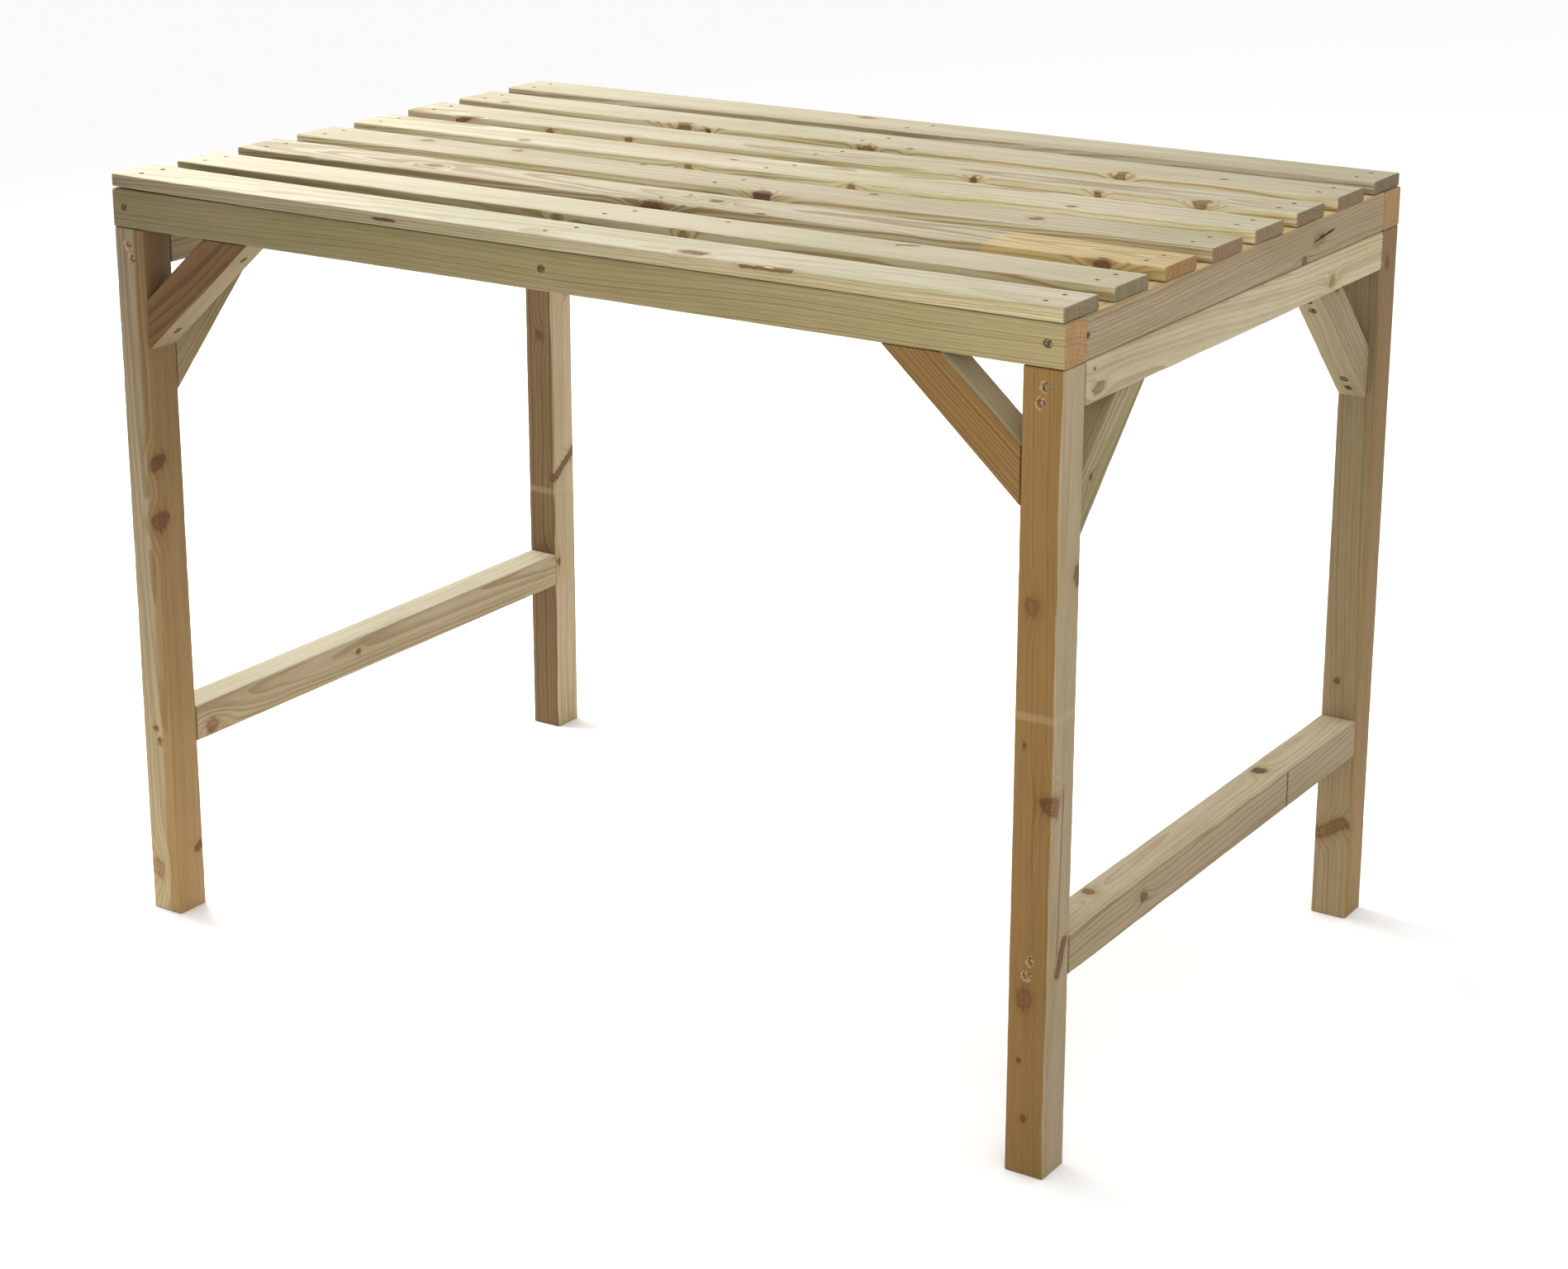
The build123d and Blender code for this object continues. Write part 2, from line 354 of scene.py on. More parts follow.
def add_knots(g, point, wobble, knots):
    """One knot group after another. What the last one carries goes into the wood."""
    carried = {"Near": NO_KNOT_NEAR, "Lift": 0.0, "Stain": 0.0, "Shade": 0.0}
    for at, face, radius, dark, axis, depth in knots:
        given = {
            "Point": point,
            "Wobble": wobble,
            "Centre": (at, *face),
            "Axis": Vector(axis).normalized(),
            "Radius": radius,
            "Depth": depth,
            "Dark": dark,
            **carried,
        }
        knot = g.add("Group", given, node_tree=KNOT)
        carried = {key: knot.outputs[key] for key in carried}
    return carried


def pine_material(piece, look, seed):
    """The wood of one piece: its own place in the log, its tone and its knots."""
    look = {**PLAIN, **look}
    material, g, surface = new_material("pine_" + piece.name)
    point = grain_point(g, piece)
    shift = (seed * 137.0, seed * 61.0, seed * 29.0)
    wobble = g.noise(g.vector("ADD", point, shift), (0.10, 0.22, 0.22), 3.0)
    early, late = look["tone"]
    (heart_early, heart_late), heart_way, heart_from, heart_soft = look["heart"]
    length, width, _ = piece.size
    given = {
        "Point": point,
        "Seed": shift,
        "Pith": (0, *look["pith"]),
        "Tilt": (0, *look["tilt"]),
        "Ring": look["ring"],
        "Wander": look["wander"],
        "Contrast": look["contrast"],
        "Early": early,
        "Late": late,
        "Heart early": heart_early,
        "Heart late": heart_late,
        "Heart way": heart_way,
        "Heart from": heart_from,
        "Heart soft": heart_soft,
        "Band": look["band"],
        "Drift": 2 * look["drift"] / length,
        "Edge drift": 2 * look["edge_drift"] / length,
        "Edge from": width / 2,
        "Edge tint": look["edge"],
        "End tint": look["end"],
        "Grain": piece.turn.col[0],
        **add_knots(g, point, wobble, look["knots"]),
    }
    wood = g.add("Group", given, node_tree=PINE)
    g.feed(surface.inputs["Base Color"], wood.outputs["Color"])
    g.feed(surface.inputs["Roughness"], wood.outputs["Roughness"])
    bump = g.add("Bump", {"Height": wood.outputs["Height"], "Strength": 0.55, "Distance": 0.0005})
    g.feed(surface.inputs["Normal"], bump.outputs[0])
    surface.inputs["Specular IOR Level"].default_value = 0.22
    return material


def torn_wood(name, deep, fresh):
    """Broken fibres in a hole, a slit or a splinter, from a deep to a fresh colour. Made near black, it is
    painted shade in holes and slits.
    """
    material, g, surface = new_material(name)
    place = g.add("TexCoord").outputs["Object"]
    fibre = g.noise(place, (1500, 1500, 300), 3.0)
    g.feed(surface.inputs["Base Color"], g.mix(g.smooth(fibre, 0.3, 0.7), deep, fresh))
    bump = g.add("Bump", {"Height": fibre, "Strength": 0.8, "Distance": 0.0006})
    g.feed(surface.inputs["Normal"], bump.outputs[0])
    surface.inputs["Roughness"].default_value = 0.7
    surface.inputs["Specular IOR Level"].default_value = 0.2
    return material


def plated_steel(name, bright, dull, roughness):
    """A screw or nail: plating with scuffs, in patches from a bright to a dark dull colour."""
    material, g, surface = new_material(name)
    place = g.add("TexCoord").outputs["Object"]
    dull_patches = g.noise(place, (420, 420, 420), 4.0)
    scuff = g.noise(place, (1600, 1600, 240), 2.0)
    g.feed(surface.inputs["Base Color"], g.mix(g.smooth(dull_patches, 0.35, 0.65), bright, dull))
    g.feed(surface.inputs["Roughness"], g.smooth(scuff, 0.3, 0.7, roughness, roughness + 0.22))
    bump = g.add("Bump", {"Height": scuff, "Strength": 0.3, "Distance": 0.0002})
    g.feed(surface.inputs["Normal"], bump.outputs[0])
    surface.inputs["Metallic"].default_value = 0.9
    return material


# ---------------------------------------------------------------- timber

class Piece:
    """A length of timber: its middle, how it is turned, and its size along the grain, across and up.

    Each of its slopes is how fast an end draws back with height: first the low end's, then the far.
    """

    def __init__(self, name, centre, turn, size, slopes=(0.0, 0.0)):
        self.name = name
        self.centre = centre
        self.turn = turn
        self.size = size
        self.slopes = slopes

    def local(self, place):
        """A place in the scene, in millimetres from the piece's middle, in grain coordinates."""
        return self.turn.transposed() @ (place - self.centre) / MM

    def world(self, point):
        return self.centre + self.turn @ (Vector(point) * MM)


def turned(along, up):
    """The rotation that takes X to the grain's direction and Z to up."""
    return Matrix((along, up.cross(along), up)).transposed()


def straight_piece(name):
    low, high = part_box(name)
    extent = high - low
    longest = max(range(3), key=lambda k: extent[k])
    along, up = ((X, Z), (Y, Z), (Z, -X))[longest]
    turn = turned(along, up)
    size = turn.transposed() @ extent
    return Piece(name, (low + high) / 2, turn, tuple(abs(length) / MM for length in size))


def brace_piece(name):
    """A brace slopes down to its leg, with both ends cut to lie flat against its members."""
    low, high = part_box(name)
    kind, _, row, side = name.split("_")
    to_leg = X * (1 if side == "right" else -1) if kind == "long" else Y * (1 if row == "back" else -1)
    across, down = abs((high - low).dot(to_leg)), (high - low).z
    depth = min((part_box(f"leg_{row}_{side}")[1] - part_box(f"leg_{row}_{side}")[0]).xy)
    up = (to_leg * down + Z * across).normalized()
    along = (to_leg * across - Z * down).normalized()
    turn = turned(along, up)
    thickness = abs((high - low).dot(up.cross(along)))
    centre = (low + high) / 2 + up * depth / 2
    size = (math.hypot(across, down) / MM, thickness / MM, depth / MM)
    return Piece(name, centre, turn, size, (across / down, down / across))


def outline(width, height, rounding):
    """A rounded rectangle as points with outward directions, its sides divided for later bending."""
    points = []
    corners = ((1, 1), (-1, 1), (-1, -1), (1, -1))
    for k, (sy, sz) in enumerate(corners):
        middle = Vector((sy * (width / 2 - rounding), sz * (height / 2 - rounding)))
        for step in range(ARC_STEPS + 1):
            angle = math.pi / 2 * (k + step / ARC_STEPS)
            way = Vector((math.cos(angle), math.sin(angle)))
            points.append((middle + way * rounding, way))
        ty, tz = corners[(k + 1) % 4]
        following = Vector((ty * (width / 2 - rounding), tz * (height / 2 - rounding)))
        way = Vector((math.cos(math.pi / 2 * (k + 1)), math.sin(math.pi / 2 * (k + 1))))
        cells = max(2, round((following - middle).length / CELL))
        for step in range(1, cells):
            points.append((middle.lerp(following, step / cells) + way * rounding, way))
    return points


def stations(length):
    """Places along the grain, and how far the outline draws in at each."""
    count = max(4, round(length / STATION))
    inner = length / 2 - END_ARRIS
    middle = [(2 * k / count - 1) * inner for k in range(count + 1)]
    return [(-length / 2, END_ARRIS)] + [(x, 0.0) for x in middle] + [(length / 2, END_ARRIS)]


def cap(vertices, faces, first, count, flip):
    """Closes an end, the loop of count vertices from first, with two smaller loops and a hub."""
    middle = sum((vertices[first + j] for j in range(count)), Vector()) / count
    ring = first
    for shrink in (0.66, 0.33):
        start = len(vertices)
        vertices.extend(middle.lerp(vertices[first + j], shrink) for j in range(count))
        for j in range(count):
            quad = (ring + j, ring + (j + 1) % count, start + (j + 1) % count, start + j)
            faces.append(quad if not flip else quad[::-1])
        ring = start
    hub = len(vertices)
    vertices.append(middle)
    for j in range(count):
        corner = (ring + j, ring + (j + 1) % count, hub)
        faces.append(corner if not flip else corner[::-1])


def unevenness(here, way, shift):
    """How far a face stands out at a place, in millimetres: slow waves, and dents in the arrises."""
    wave = noise.noise(here * 0.012 + shift) * 0.22 + noise.noise(here * 0.06 + shift) * 0.10
    corner = min(1.0, 4.0 * abs(way.x * way.y))
    dent = max(0.0, noise.noise(here * 0.045 + shift * 2) - 0.12) * corner * WEAR * DENT_DEPTH
    return wave - FACE_INSET - dent


def bar(piece, rounding, seed, trim, lift):
    """The mesh of a timber: slightly uneven faces, worn arrises, and ends short by trim millimetres.

    lift raises the low end of the piece, as where a slat springs up off its beam.
    """
    length, width, height = piece.size
    points = outline(width, height, rounding)
    shift = Vector((seed * 7.1, seed * 3.3, seed * 1.7))
    vertices, faces = [], []

    def place(x, y, z, inward, way):
        # A sloping cut draws the end back with height, and the loops between follow in proportion
        full = length / 2 - piece.slopes[x > 0] * (z + height / 2)
        x = x * full / (length / 2)
        reach = x / (length / 2)
        x -= (trim[1] if reach > 0 else -trim[0]) * abs(reach) ** TRIM_FADE
        move = unevenness(Vector((x, y, z)), way, shift) - inward
        spring = lift * max(0.0, 1 - (x + length / 2) / SPRING_REACH) ** 2
        return piece.world((x, y + way.x * move, z + way.y * move + spring))

    for x, inward in stations(length):
        vertices.extend(place(x, p.x, p.y, inward, way) for p, way in points)
    count = len(points)
    last = len(vertices) - count
    for start in range(0, last, count):
        for j in range(count):
            a, b = start + j, start + (j + 1) % count
            faces.append((a, b, b + count, a + count))
    cap(vertices, faces, 0, count, True)
    cap(vertices, faces, last, count, False)
    mesh = bpy.data.meshes.new(piece.name)
    mesh.from_pydata(vertices, [], faces)
    return mesh


# ---------------------------------------------------------------- fasteners

WELD = 1e-6  # in metres
RIM_DEPTH = 0.35  # how much of a head's top counts as its rim, in millimetres
CRATER_SIDES = 22
GOUGE_SECTIONS = 14


def shells(mesh):
    """The places of each connected shell's vertices in a bmesh."""
    seen = set()
    for first in mesh.verts:
        if first in seen:
            continue
        seen.add(first)
        shell, edge = [first], [first]
        while edge:
            for link in edge.pop().link_edges:
                fresh = [vertex for vertex in link.verts if vertex not in seen]
                seen.update(fresh)
                shell.extend(fresh)
                edge.extend(fresh)
        yield [vertex.co.copy() for vertex in shell]


def driven_at(node):
    """The head's centre and the outward direction of each fastener in a CAD node."""
    mesh = bmesh.new()
    mesh.from_mesh(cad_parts[node].data)
    bmesh.ops.remove_doubles(mesh, verts=mesh.verts, dist=WELD)
    found = []
    for places in shells(mesh):
        middle = sum(places, Vector()) / len(places)
        tip = max(places, key=lambda p: (p - middle).length)
        rough = (middle - tip).normalized()
        top = max(p.dot(rough) for p in places)
        rim = [p for p in places if p.dot(rough) > top - RIM_DEPTH * MM]
        corners = [Vector([pick(p[k] for p in rim) for k in range(3)]) for pick in (min, max)]
        head = (corners[0] + corners[1]) / 2
        found.append((head, (head - tip).normalized()))
    mesh.free()
    return sorted(found, key=lambda item: tuple(round(value, 4) for value in item[0]))


def crater(vertices, faces, head, sunk, outward, grain, size, rng):
    """Adds a ragged cone that will be cut out of the wood over a fastener's head."""
    sides = CRATER_SIDES
    radius, depth, ragged = size
    mouth = head + outward * sunk * MM
    side = outward.cross(grain).normalized()
    along = side.cross(outward)
    start = len(vertices)
    rough = [1 + ragged * rng.uniform(-1, 1) for _ in range(sides)]
    # Height over the surface, radius there, and share of the raggedness
    levels = ((2.5, radius * 1.35, 1.0), (0.0, radius, 1.0), (-depth, radius * 0.72, 0.35))
    for level, width, roughness in levels:
        for k in range(sides):
            angle = 2 * math.pi * k / sides
            reach = width * (1 + (rough[k] - 1) * roughness) * MM
            offset = along * math.cos(angle) * reach * 1.12 + side * math.sin(angle) * reach
            vertices.append(mouth + outward * level * MM + offset)
    for level in range(2):
        for k in range(sides):
            a, b = start + level * sides + k, start + level * sides + (k + 1) % sides
            faces.append((a, a + sides, b + sides, b))
    faces.append(tuple(range(start, start + sides)))
    faces.append(tuple(range(start + 3 * sides - 1, start + 2 * sides - 1, -1)))


def gouge(vertices, faces, piece, start, end, outward, width, depth, rng):
    """Adds a ragged slit from start to end, in grain coordinates, that will be cut out of a face."""
    start, end, outward = (Vector(item) for item in (start, end, outward))
    outward.normalize()
    side = outward.cross(end - start).normalized()
    first = len(vertices)
    for k in range(GOUGE_SECTIONS + 1):
        share = k / GOUGE_SECTIONS
        open_by = math.sin(math.pi * (0.03 + 0.94 * share)) ** 0.6
        middle = start.lerp(end, share)
        left, right = (width / 2 * open_by * rng.uniform(0.45, 1.35) for _ in range(2))
        floor = outward * depth * open_by * rng.uniform(0.7, 1.2)
        mouth = (side * right + outward, -side * left + outward)
        bed = (-side * left * 0.4 - floor, side * right * 0.4 - floor)
        for offset in mouth + bed:
            vertices.append(piece.world(middle + offset))
    for k in range(GOUGE_SECTIONS):
        for j in range(4):
            a, b = first + 4 * k + j, first + 4 * k + (j + 1) % 4
            faces.append((a, b, b + 4, a + 4))
    faces.append(tuple(range(first, first + 4)))
    last = first + 4 * GOUGE_SECTIONS
    faces.append((last + 3, last + 2, last + 1, last))


def splinter(vertices, faces, centre, outward, grain, radius, rng):
    """Adds one sliver of wood that stands up at a radius from a centre in a face."""
    side = outward.cross(grain).normalized()
    angle = rng.choice((0.3, math.pi - 0.3, -0.4, math.pi + 0.4)) + rng.gauss(0, 0.45)
    way = (grain * math.cos(angle) + side * math.sin(angle)).normalized()
    flat = outward.cross(way)
    root = centre - outward * 0.1 * MM + way * (radius * rng.uniform(0.95, 1.2)) * MM
    length = rng.uniform(1.8, 3.6) * MM
    width = rng.uniform(0.9, 2.0) * MM
    rise = rng.uniform(0.3, 1.0) * MM
    inward = -way if rng.random() < 0.5 else way
    tip = root + inward * length * 0.8 + outward * rise
    belly = root + inward * length * 0.4 + outward * rise * 0.75
    start = len(vertices)
    below = outward * 0.3 * MM
    vertices.extend((root - flat * width / 2 - below, root + flat * width / 2 - below, root + below))
    vertices.extend((belly - flat * width * 0.4, belly + flat * width * 0.4, belly + below * 1.3, tip))
    for a, b in ((0, 1), (1, 2), (2, 0)):
        faces.append((start + a, start + b, start + b + 3, start + a + 3))
        faces.append((start + a + 3, start + b + 3, start + 6))
    faces.append((start + 2, start + 1, start))


def mesh_object(name, mesh, material):
    if isinstance(mesh, tuple):
        made = bpy.data.meshes.new(name)
        made.from_pydata(mesh[0], [], mesh[1])
        mesh = made
    thing = bpy.data.objects.new(name, mesh)
    bpy.context.scene.collection.objects.link(thing)
    mesh.materials.append(material)
    tidy = bmesh.new()
    tidy.from_mesh(mesh)
    bmesh.ops.recalc_face_normals(tidy, faces=tidy.faces)
    tidy.to_mesh(mesh)
    tidy.free()
    return thing


def cut(thing, cutter):
    """Takes the cutter out of the thing, and leaves the cutter's material on the cut."""
    modifier = thing.modifiers.new("cut", "BOOLEAN")
    modifier.operation = "DIFFERENCE"
    modifier.solver = "EXACT"
    modifier.material_mode = "TRANSFER"
    modifier.object = cutter
    shown = thing.evaluated_get(bpy.context.evaluated_depsgraph_get())
    mesh = bpy.data.meshes.new_from_object(shown)
    thing.modifiers.clear()
    thing.data = mesh
    bpy.data.objects.remove(cutter)


# ---------------------------------------------------------------- the pieces' looks

# A place beyond the end of every piece, and a distance too far from a knot to show, in its radii
NOWHERE = 5000.0
NO_KNOT_NEAR = 9.0
# What a look has where it says nothing else. The pith lies across and up from a piece's middle.
# A heart is its tone, the way to it, how far off its border lies, and how soft the border is. On the right
# stretcher and the front right long brace it is painted light on the upper face.
# A drift is the share by which the far end is lighter than the middle, and the low end darker: painted
# light and shade along the piece.
# A band is where a strap left its mark.
# An edge tint (edge) and an edge drift paint light and shade on the slats' front and back edges alone.
PLAIN = dict(
    tilt=(0.004, 0.006), ring=3.6, wander=16.0, contrast=0.8, edge=UNTINTED, end=GREY, band=NOWHERE,
    drift=0.0, edge_drift=0.0, knots=(), heart=(CREAM, (0, 0, 0), 9.0, 1.0),
)
# A knot is (place along the grain, place across and up, radius, darkness, direction, half length)
UP, OUT = (0, 0, 1), (0, 1, 0)
LOOKS = {
    "slat_1": dict(
        tone=CREAM, pith=(-20, -95), tilt=(0.01, 0.02), edge=SHADED_EDGE, edge_drift=0.45, contrast=0.6,
        knots=[(178, (-20, 7), 7.2, 0.52, (0.85, 0, 0.5), 16), (272, (-36, 6), 3, 0.3, (1, 0.05, 0.05), 30),
               (-207, (-35, 0), 1.4, 0.8, (1, 0.04, 0), 14)],
    ),
    "slat_2": dict(
        tone=CREAM, pith=(90, -30), tilt=(0.012, 0.0), edge=SHADED_EDGE, edge_drift=0.3,
        knots=[(104, (-36, 0), 3.8, 0.15, (0.2, 1, 0.3), 5), (-57, (-35, 0), 3.4, 0.15, (0.1, 1, 0.2), 4),
               (338, (22, 8), 3, 0.4, (1, 0.4, 0.25), 12), (124, (20, 8), 2, 0.5, UP, 9)],
    ),
    "slat_3": dict(
        tone=WHEAT, pith=(6, -46), tilt=(0.0, 0.035), end=RUSSET, edge=SHADED_EDGE, ring=4.6, wander=22,
        heart=(GOLD, (1, 0.08, 0), 392, 2.5), edge_drift=0.2, contrast=1.2,
        knots=[(-7, (-35, 0), 9, 0.5, (0.1, 1, 0.15), 6), (52, (2, 8), 6, 0.4, (0.35, 0, 1), 9),
               (129, (-29, 8), 2.6, 0.8, (0.8, 0, 0.5), 6), (530, (-35, 0), 8, 0.45, (0.1, 1, 0.2), 8),
               (-333, (0, 8), 7, 0.4, (0.3, 0, 1), 9)],
    ),
    "slat_4": dict(
        tone=WHEAT, pith=(-60, -35), tilt=(0.016, 0.01), end=RUSSET, edge=LIT_EDGE, ring=4.2, contrast=1.0,
        knots=[(66, (-34, 2), 8, 0.78, (0.35, 1, 0.4), 8), (-137, (30, 8), 3.4, 0.4, (0.6, 0, 1), 8),
               (-309, (22, 8), 5, 0.4, (0.5, 0, 1), 9), (173, (22, 8), 3.4, 0.4, (0.3, 0, 1), 9),
               (382, (2, 8), 6, 0.45, (0.4, 0, 1), 9), (-439, (17, 8), 6, 0.6, (0.4, 0, 1), 9)],
    ),
    "slat_5": dict(
        tone=CREAM, pith=(30, 60), tilt=(0.01, 0.015), end=TAN, edge=LIT_EDGE, edge_drift=0.2,
        knots=[(-102, (-35, 0), 4, 0.26, (0.1, 1, 0), 5), (115, (-35, 0), 4.4, 0.22, (0.1, 1, 0), 4),
               (-345, (-22, 8), 4, 0.4, (0.8, 0.1, 0.5), 9), (382, (-24, 8), 4, 0.4, (0.4, 0, 1), 9),
               (-67, (8, 8), 2, 0.9, (0.8, 0, 0.5), 5)],
    ),
    "slat_6": dict(
        tone=WHEAT, pith=(-10, -60), tilt=(0.02, 0.02), end=TAN, edge=LIT_EDGE, ring=4.2, edge_drift=0.2,
        knots=[(-376, (-35, 0), 4, 0.25, (0.2, 1, 0), 5), (-259, (-35, 2), 3.4, 0.28, (0.7, 1, 0.2), 9),
               (211, (-34, 3), 3.6, 0.6, (0.3, 1, 0.4), 6), (365, (-34, 2), 3.4, 0.25, (0.2, 1, 0.2), 6),
               (-501, (-33, 6), 3, 0.4, (1, 0.2, 0.3), 20), (487, (-30, 8), 7, 0.2, (0.6, 0.6, 0.6), 8)],
    ),
    "slat_7": dict(
        tone=WHEAT, pith=(55, -50), tilt=(0.012, 0.008), end=TAN, edge=LIT_EDGE, edge_drift=0.2,
        knots=[(-250, (-34, 2), 9, 0.42, (0.15, 1, 0.3), 9), (-215, (-34, 2), 2.6, 0.8, (0, 1, 0), 5),
               (-531, (-26, 8), 3.6, 0.8, (0.5, 0, 1), 9), (340, (-34, 3), 5, 0.2, (0.5, 1, 0.4), 8),
               (8, (-35, 0), 6, 0.2, (1, 1, 0.2), 9), (66, (-30, 8), 3, 0.7, (0.6, 0, 1), 7),
               (452, (-5, 8), 2.6, 0.8, (0.7, 0, 1), 6)],
    ),
    "slat_8": dict(
        tone=WHEAT, pith=(-70, -20), tilt=(0.01, 0.01),
        knots=[(-85, (20, 8), 3.5, 0.6, (1, 0, 0.3), 14)],
    ),
    # The front beam's drift paints the fill light, lighter towards its right end.
    "front_beam": dict(
        tone=OLIVE, pith=(-14, -105), tilt=(0.0, 0.012), ring=3.4, end=SALMON, contrast=0.5, drift=0.33),
    "back_beam": dict(tone=OLIVE, pith=(50, -40), tilt=(0.006, 0.004), end=SALMON),
    "side_beam_right": dict(
        tone=STRAW, pith=(-16, 52), tilt=(0.02, 0.015), ring=4.0, contrast=0.7, end=SALMON,
        heart=(HONEY, (0, 0, 1), 20.5, 1.0),
        knots=[(139, (-22, -17), 4.5, 0.25, (0.2, 1, 0), 8), (176, (-22, 0), 5, 0.0, (1, 0.1, 0.1), 12),
               (-350, (-22, 3), 2.4, 0.9, (0.2, 1, 0.5), 8)],
    ),
    "side_beam_left": dict(tone=FAWN, pith=(20, 60), tilt=(0.01, 0.01)),
    "centre_beam": dict(tone=STRAW, pith=(30, -50)),
    "top_rail_right": dict(
        tone=PALE, pith=(90, -46), tilt=(0.012, -0.03), ring=4.4, contrast=0.5, drift=0.08,
        knots=[(216, (-22, -10), 5, 0.1, (0.1, 1, 0), 20),
               (-324, (-22, -9), 4.8, 0.12, (0.85, 0.42, 0.1), 14),
               (-334, (-22, 11), 1.5, 0.8, (0, 1, 0), 10)],
    ),
    "top_rail_left": dict(tone=STRAW, pith=(40, 30)),
    # The heart here paints light on the upper face, which lies in the worktop's shade.
    "stretcher_right": dict(
        tone=STRAW, pith=(8, 34), tilt=(0.01, 0.02), ring=4.4, contrast=0.6,
        heart=(PALE, (0, 1, 1), 0.5, 1.0),
        knots=[(-250, (10, 22), 5, 0.3, (0.3, 1, -1), 12), (-190, (-22, 2), 5, 0.35, (0.9, 1, -0.6), 12),
               (149, (6, 22), 7, 0.7, (0.3, 0.1, 1), 12), (163, (-22, 0), 1.2, 0.8, UP, 20)],
    ),
    "stretcher_left": dict(
        tone=FAWN, pith=(-50, 12), tilt=(0.02, 0.01), ring=4.2, contrast=0.6,
        heart=(WHEAT, (0, 1, 1), 0.5, 1.0),
        knots=[(-325, (-22, -8), 8, 0.1, (0.1, 1, 0.2), 12), (-60, (-22, 5), 3, 0.2, (0, 1, 0), 12)],
    ),
    "leg_front_right": dict(
        tone=STRAW, pith=(-14, -46), tilt=(0.012, 0.03), ring=3.2, contrast=0.35, wander=12,
        heart=(AMBER, (0, -1, 1), 1.5, 1.2), drift=0.07, band=70,
        knots=[(180, (-22, 5), 6.5, 0.04, (0.1, 1, 0), 12),
               (-17, (-21, -19), 7.5, 0.18, (-0.3, 1, -0.6), 12),
               (-222, (-22, 3), 8.0, 0.05, (0.15, 1, 0.1), 12), (40, (-22, 10), 2, 0.4, OUT, 9),
               (-290, (-22, 8), 2.4, 0.3, OUT, 9), (-352, (-22, 2), 3, 0.2, OUT, 9),
               (-182, (4, -22), 5, 0.5, (1, 0.4, -0.1), 20), (-92, (-2, -22), 1.0, 0.1, (1, 0.03, 0), 84),
               (207, (18, -22), 8, 0.3, (-0.3, 0.3, -1), 14)],
    ),
    "leg_front_left": dict(
        tone=STRAW, pith=(-46, -10), tilt=(0.01, 0.012), ring=4.0, contrast=0.5,
        heart=(COPPER, (0, 0.1, -1), 4.8, 4.0), drift=-0.38,
        knots=[(143, (-20, -22), 7, 0.22, (0.3, 0.9, -0.5), 14),
               (73, (-20, -22), 8, 0.16, (0.3, 0.8, -0.5), 14),
               (-360, (-22, 12), 9, 0.08, (0.15, 1, 0.1), 12), (-335, (20, -22), 4, 0.3, (0.4, 1, 0), 12)],
    ),
    "leg_back_left": dict(
        tone=BISCUIT, pith=(10, -40), tilt=(0.01, 0.012), ring=3.8, contrast=0.6, band=-76,
        heart=(PEAT, (0, -1, 1), 1.5, 1.2),
        knots=[(-40, (0, -21), 4.2, 0.5, (0.75, 1, 0), 32), (200, (20, -22), 3.4, 0.5, (0.5, 1, 0), 14),
               (139, (-22, 0), 5, 0.1, OUT, 12), (-175, (-22, -12), 6, 0.4, (0, 1, -0.6), 12)],
    ),
    "leg_back_right": dict(
        tone=COPPER, pith=(44, 60), tilt=(0.006, 0.008), ring=3.4, contrast=0.4, wander=9,
        heart=(DRAB, (0, -1, 1), 1.5, 1.2), drift=-0.2,
        knots=[(-303, (-22, 2), 6.0, 0.13, (0.62, 0.12, -1), 22),
               (375, (-6, -22), 5, 0.35, (0.4, 0, 1), 12), (-120, (-22, 4), 3, 0.2, OUT, 12)],
    ),
    # The heart here paints light on the upper face, which lies in shade under the member above it.
    "long_brace_front_right": dict(
        tone=AMBER, pith=(-30, 30), ring=3.4, contrast=0.9, heart=(PALE, (0, 1, 1), 1.5, 1.2)),
    "long_brace_front_left": dict(
        tone=UMBER, pith=(-60, 20), ring=4.0, contrast=0.9, tilt=(0.0, 0.06),
        heart=(DRAB, (0, -1, -1), 1.5, 1.2),
    ),
    "long_brace_back_right": dict(tone=DRAB, pith=(30, 30)),
    "long_brace_back_left": dict(tone=AMBER, pith=(30, -30)),
    "end_brace_front_right": dict(
        tone=OLIVE, pith=(-40, 36), ring=4.0, contrast=0.9, wander=24, heart=(STRAW, (-0.2, 0, 1), 4, 9),
        knots=[(31, (17, 5), 2.6, 0.7, (0.3, 1, 0), 10)],
    ),
    "end_brace_front_left": dict(tone=DRAB, pith=(30, 40)),
    "end_brace_back_right": dict(
        tone=STRAW, pith=(-26, 40), knots=[(-70, (-17, 10), 4, 0.5, (0.4, 1, 0.2), 12)]),
    "end_brace_back_left": dict(tone=STRAW, pith=(-30, -30)),
}
# A slit or torn place: its ends in grain coordinates, the way it faces, its width and depth, and
# whether its wood is fresh
# A slit whose wood is not fresh is lined with painted shade.
GOUGES = {
    "side_beam_right": [((162, -22, -1), (217, -22, 5), (0, -1, 0), 5.0, 4.0, False)],
    "slat_1": [((240, -34.6, 7.2), (306, -34.6, 7.2), (0, -1, 1), 3.4, 0.9, True),
               ((-221, -35, 1), (-193, -35, 1), (0, -1, 0), 2.2, 2.0, False)],
}
# How far the low end of a slat springs up, in millimetres
LIFTED = {"slat_1": 1.8, "slat_6": 0.4}
# How far each kind of head lies below the surface, in millimetres
SUNK = {"leg_screws": 2.0, "beam_screws": 2.0, "rail_screws": 2.0, "brace_screws": 1.5, "slat_nails": 0.8}
